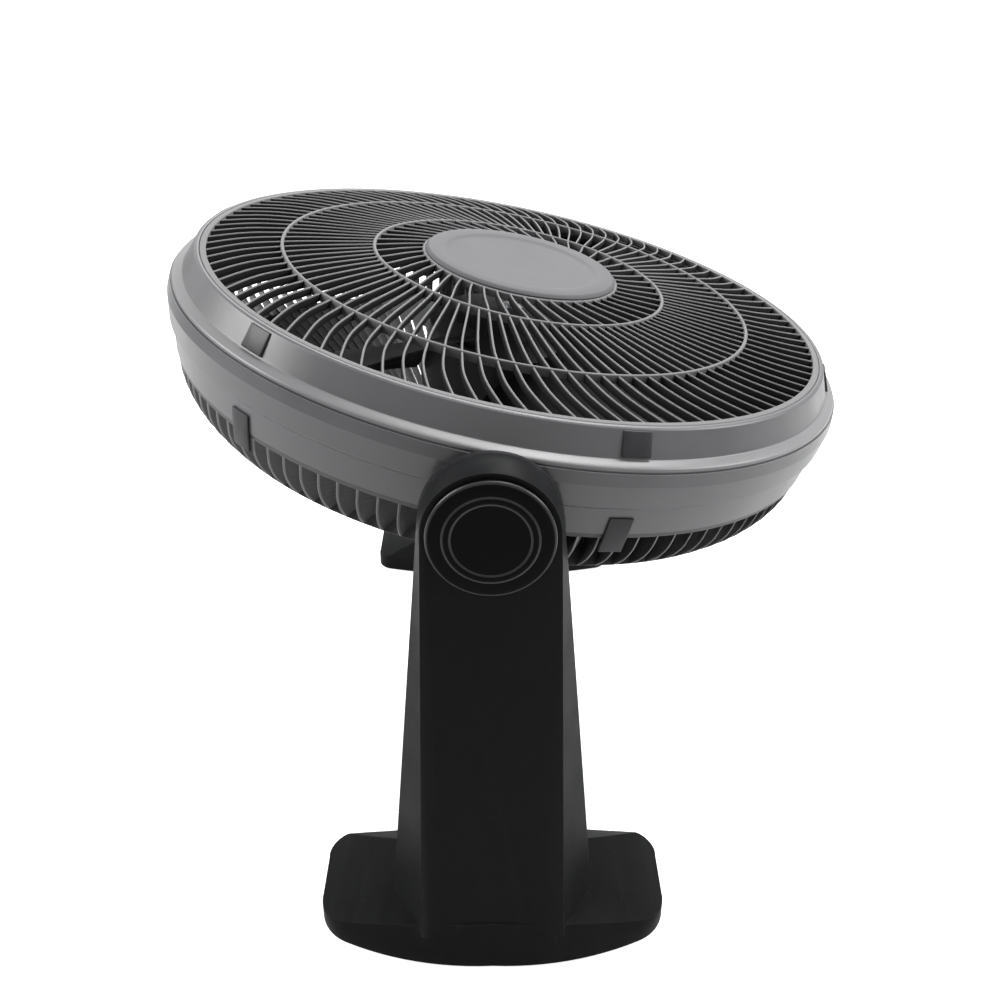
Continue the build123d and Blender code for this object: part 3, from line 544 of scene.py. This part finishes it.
# Bushings, impeller, switch and capacitor: the bushings are turned from white acetal and
# pressed into the drum, and the nearly black blades are one moulding on the shaft.
for node, material in (
    ("pivot_bushings", moulded("Acetal", (0.62, 0.61, 0.56), (0.7, 0.69, 0.65), 0.45, 900.0)),
    ("impeller", moulded(
        "Blade black", (0.012, 0.012, 0.013), (0.03, 0.03, 0.03), 0.45, 1300.0, 0.2
    )),
    ("speed_switch", clip_black),
    ("run_capacitor", clip_black),
):
    dress(node, material)


# Motor: a black-enamelled can with a cast alloy lid, stacked steel cores, copper windings,
# ground bearings and a ground shaft. It is bolted behind the impeller.
enamel = moulded("Motor enamel", (0.03, 0.03, 0.032), (0.12, 0.12, 0.12), 0.35, 600.0, 0.5)
dress("motor_can", enamel)
dress("motor_endbell", bare_metal("Cast alloy", (0.5, 0.51, 0.53), 0.5, 700.0))
dress("stator_core", bare_metal("Lamination steel", (0.35, 0.36, 0.38), 0.45, 1200.0))
dress("rotor_core", bare_metal("Rotor steel", (0.35, 0.36, 0.38), 0.45, 1200.0))
dress("stator_windings", bare_metal("Copper wire", (0.62, 0.28, 0.12), 0.35, 1400.0))
dress("motor_bearings", bare_metal("Bearing steel", (0.66, 0.67, 0.69), 0.22, 400.0))
dress("motor_shaft", bare_metal("Shaft steel", (0.66, 0.67, 0.69), 0.25, 400.0))


# Studio: a white floor, soft lamps and a white world round them, with the camera at the
# photograph's height, distance and lens. The floor looks plain white to the camera.
FLOOR_HALF = 14.0
FLOOR_DROP = 0.0003
FLOOR_LIFT = 0.85


def soft_lamp(name, place, aim, size, power):
    """Square area lamp turned toward the fan."""
    data = bpy.data.lights.new(name, "AREA")
    data.shape = "SQUARE"
    data.size = size
    data.energy = power
    lamp = bpy.data.objects.new(name, data)
    lamp.location = place
    lamp.rotation_euler = (Vector(aim) - Vector(place)).to_track_quat("-Z", "Y").to_euler()
    bpy.context.scene.collection.objects.link(lamp)


soft_lamp("Key lamp", (-2.3, 0.0, 1.7), (0, 0, 0.3), 1.4, 62)
soft_lamp("Fill lamp", (2.4, -0.1, 1.5), (0, 0, 0.3), 1.4, 42)
soft_lamp("Top lamp", (0.75, 0.75, 2.4), (0, 0, 0.2), 1.4, 70)
soft_lamp("Back lamp", (0.3, 2.6, 1.9), (0, 0, 0.35), 1.8, 26)

world = bpy.data.worlds.new("Studio")
bpy.context.scene.world = world
world.use_nodes = True
sky = world.node_tree
sky.nodes.clear()
rays = sky.nodes.new("ShaderNodeLightPath")
seen = sky.nodes.new("ShaderNodeMath")
seen.operation = "MAXIMUM"
through = sky.nodes.new("ShaderNodeMath")
through.operation = "MAXIMUM"
strength = sky.nodes.new("ShaderNodeMapRange")
strength.inputs["To Min"].default_value = 0.2
strength.inputs["To Max"].default_value = 1.0
glow = sky.nodes.new("ShaderNodeBackground")
glow.inputs["Color"].default_value = (1, 1, 1, 1)
out = sky.nodes.new("ShaderNodeOutputWorld")
sky.links.new(rays.outputs["Is Camera Ray"], seen.inputs[0])
sky.links.new(rays.outputs["Is Glossy Ray"], seen.inputs[1])
sky.links.new(seen.outputs["Value"], through.inputs[0])
sky.links.new(rays.outputs["Is Transmission Ray"], through.inputs[1])
sky.links.new(through.outputs["Value"], strength.inputs["Value"])
sky.links.new(strength.outputs["Result"], glow.inputs["Strength"])
sky.links.new(glow.outputs["Background"], out.inputs["Surface"])

bm = bmesh.new()
bmesh.ops.create_grid(bm, x_segments=1, y_segments=1, size=FLOOR_HALF)
bm.transform(Matrix.Translation((0, 0, -FLOOR_DROP)))
floor = linked_piece("floor", bm)
paper = bpy.data.materials.new("White paper")
paper.use_nodes = True
tree = paper.node_tree
sheet = tree.nodes["Principled BSDF"]
sheet.inputs["Base Color"].default_value = (0.86, 0.86, 0.86, 1)
sheet.inputs["Roughness"].default_value = 0.9
sheet.inputs["Specular IOR Level"].default_value = 0.1
path = tree.nodes.new("ShaderNodeLightPath")
lift = tree.nodes.new("ShaderNodeMath")
lift.operation = "MULTIPLY"
lift.inputs[1].default_value = FLOOR_LIFT
sheet.inputs["Emission Color"].default_value = (1, 1, 1, 1)
tree.links.new(path.outputs["Is Camera Ray"], lift.inputs[0])
tree.links.new(lift.outputs["Value"], sheet.inputs["Emission Strength"])
floor.data.materials.append(paper)

lens = bpy.data.cameras.new("Camera")
lens.lens = 40.47
lens.sensor_width = 36.0
camera = bpy.data.objects.new("Camera", lens)
camera.location = (-0.01223, -0.90484, 0.71717)
camera.rotation_euler = (math.radians(90 - 29.01), 0, -0.006)
bpy.context.scene.collection.objects.link(camera)
bpy.context.scene.camera = camera
bpy.context.scene.view_settings.view_transform = "Standard"
